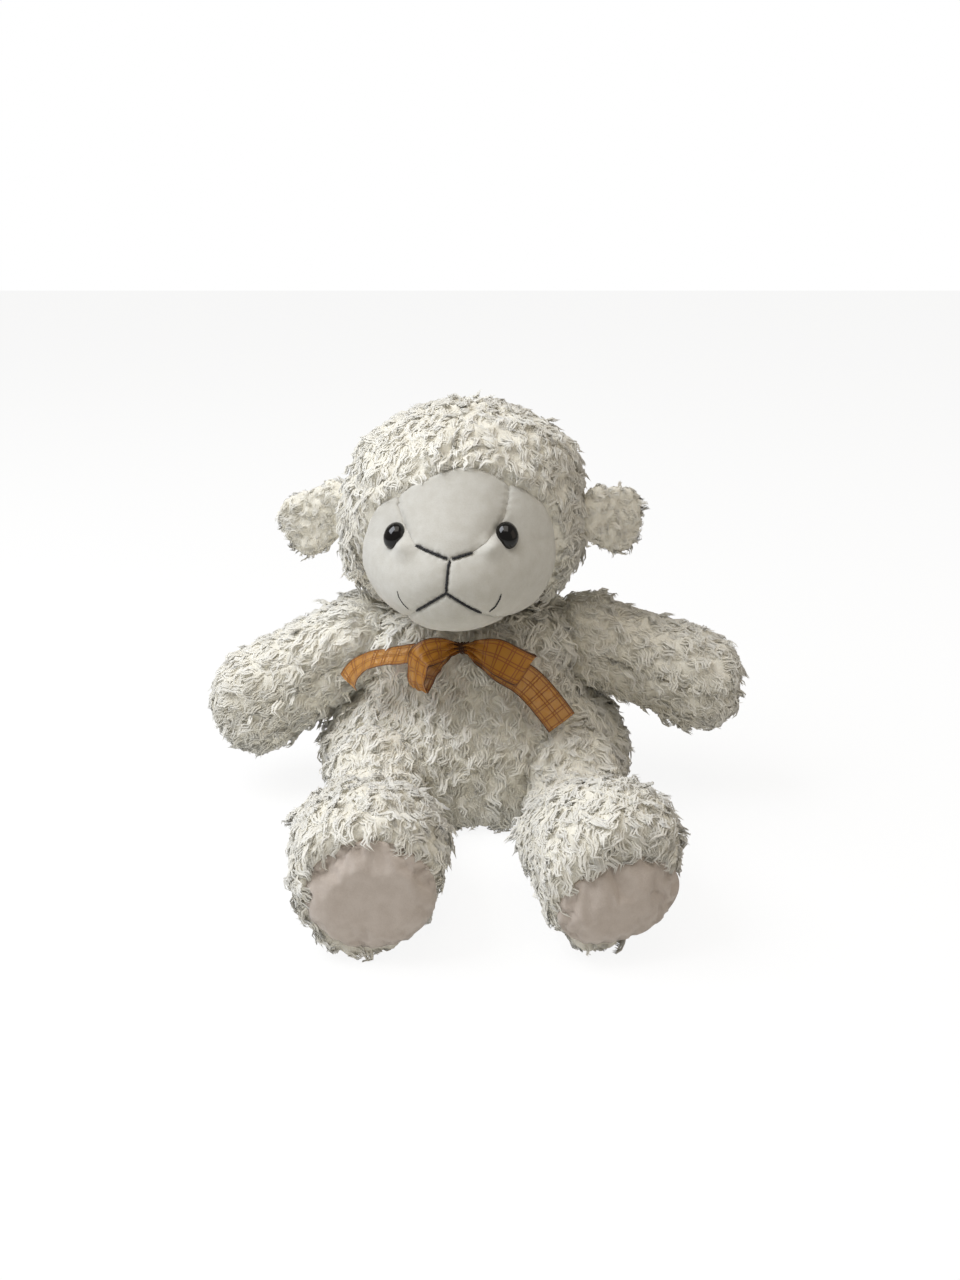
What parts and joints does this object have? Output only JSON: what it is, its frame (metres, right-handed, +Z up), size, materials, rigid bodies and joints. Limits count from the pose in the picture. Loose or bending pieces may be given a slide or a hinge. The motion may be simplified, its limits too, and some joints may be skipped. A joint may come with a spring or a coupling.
{
  "type": "plush lamb",
  "caption": "Sitting stuffed lamb in curly cream pile, with a smooth face, black safety eyes, stitched nose and smile, flat soles and a golden organza ribbon bow.",
  "frame": {"origin": "middle of the torso's flat seat, on the plane that the lamb sits on", "axes": "+Z up, -Y the way the lamb faces, +X its own left"},
  "size_m": [0.2782, 0.2596, 0.2106],
  "materials": {
    "curly_pile": "cream curly knitted pile",
    "smooth_face_plush": "short smooth pile",
    "sole_plush": "short smooth pile",
    "fibre_fill": "loose polyester fibre",
    "glossy_black_eye": "polished",
    "white_washer": "moulded",
    "black_embroidery_thread": "twisted embroidery thread",
    "golden_organza": "sheer woven ribbon",
    "brown_sewing_thread": "spun thread"
  },
  "bodies": {
    "torso": {"torso_front_panel": "curly_pile", "torso_back_panel_left": "curly_pile", "torso_back_panel_right": "curly_pile", "torso_stuffing": "fibre_fill", "bow_ribbon": "golden_organza", "bow_tack_thread": "brown_sewing_thread"},
    "neck": {"neck_stuffing": "fibre_fill"},
    "head": {"head_hood_left": "curly_pile", "head_hood_right": "curly_pile", "head_stuffing": "fibre_fill", "face_gusset": "smooth_face_plush", "face_cheek_left": "smooth_face_plush", "face_cheek_right": "smooth_face_plush", "face_chin_panel": "smooth_face_plush", "eye_left": "glossy_black_eye", "eye_right": "glossy_black_eye", "eye_left_washer": "white_washer", "eye_right_washer": "white_washer", "stitch_nose": "black_embroidery_thread", "stitch_lip_line": "black_embroidery_thread", "stitch_mouth": "black_embroidery_thread"},
    "ear_left": {"ear_left_front": "curly_pile", "ear_left_back": "curly_pile"},
    "ear_right": {"ear_right_front": "curly_pile", "ear_right_back": "curly_pile"},
    "arm_left": {"arm_left_upper_panel": "curly_pile", "arm_left_lower_panel": "curly_pile", "arm_left_stuffing": "fibre_fill"},
    "arm_right": {"arm_right_upper_panel": "curly_pile", "arm_right_lower_panel": "curly_pile", "arm_right_stuffing": "fibre_fill"},
    "leg_left": {"leg_left_upper_panel": "curly_pile", "leg_left_lower_panel": "curly_pile", "leg_left_stuffing": "fibre_fill", "foot_left_sole": "sole_plush"},
    "leg_right": {"leg_right_upper_panel": "curly_pile", "leg_right_lower_panel": "curly_pile", "leg_right_stuffing": "fibre_fill", "foot_right_sole": "sole_plush"},
    "tail": {"tail": "curly_pile"}
  },
  "joints": [
    {"name": "neck_turn", "type": "hinge", "parent": "torso", "child": "neck", "pos_m": [0, 0.0103, 0.0985], "axis": [0, 0, 1], "range_deg": [-30, 30], "stiffness_Nm_per_rad": 0.3},
    {"name": "neck_nod", "type": "hinge", "parent": "neck", "child": "head", "pos_m": [0, 0.0103, 0.0985], "axis": [0.9914, -0.1305, 0], "range_deg": [-12, 6], "stiffness_Nm_per_rad": 0.6},
    {"name": "ear_left_flop", "type": "hinge", "parent": "head", "child": "ear_left", "pos_m": [0.05802, -0.01017, 0.15748], "axis": [0.4462, -0.8949, 0], "range_deg": [-10, 20], "stiffness_Nm_per_rad": 0.02},
    {"name": "ear_right_flop", "type": "hinge", "parent": "head", "child": "ear_right", "pos_m": [-0.06729, 0.00633, 0.15748], "axis": [0.1305, 0.9914, 0], "range_deg": [-10, 20], "stiffness_Nm_per_rad": 0.02},
    {"name": "arm_left_lift", "type": "hinge", "parent": "torso", "child": "arm_left", "pos_m": [0.05994, 0.00865, 0.08232], "axis": [-0.2079, -0.9781, 0], "range_deg": [-10, 50], "stiffness_Nm_per_rad": 0.2},
    {"name": "arm_right_lift", "type": "hinge", "parent": "torso", "child": "arm_right", "pos_m": [-0.05994, 0.00865, 0.08232], "axis": [-0.0698, 0.9976, 0], "range_deg": [0, 50], "stiffness_Nm_per_rad": 0.2},
    {"name": "leg_left_lift", "type": "hinge", "parent": "torso", "child": "leg_left", "pos_m": [0.04588, -0.04002, 0.0275], "axis": [-0.9848, -0.1736, 0], "range_deg": [0, 25], "stiffness_Nm_per_rad": 0.3},
    {"name": "leg_right_lift", "type": "hinge", "parent": "torso", "child": "leg_right", "pos_m": [-0.04588, -0.04002, 0.0275], "axis": [-0.9998, -0.0174, 0], "range_deg": [0, 25], "stiffness_Nm_per_rad": 0.3},
    {"name": "tail_lift", "type": "hinge", "parent": "torso", "child": "tail", "pos_m": [0, 0.05681, 0.03626], "axis": [1, 0, 0], "range_deg": [-10, 30], "stiffness_Nm_per_rad": 0.02}
  ]
}
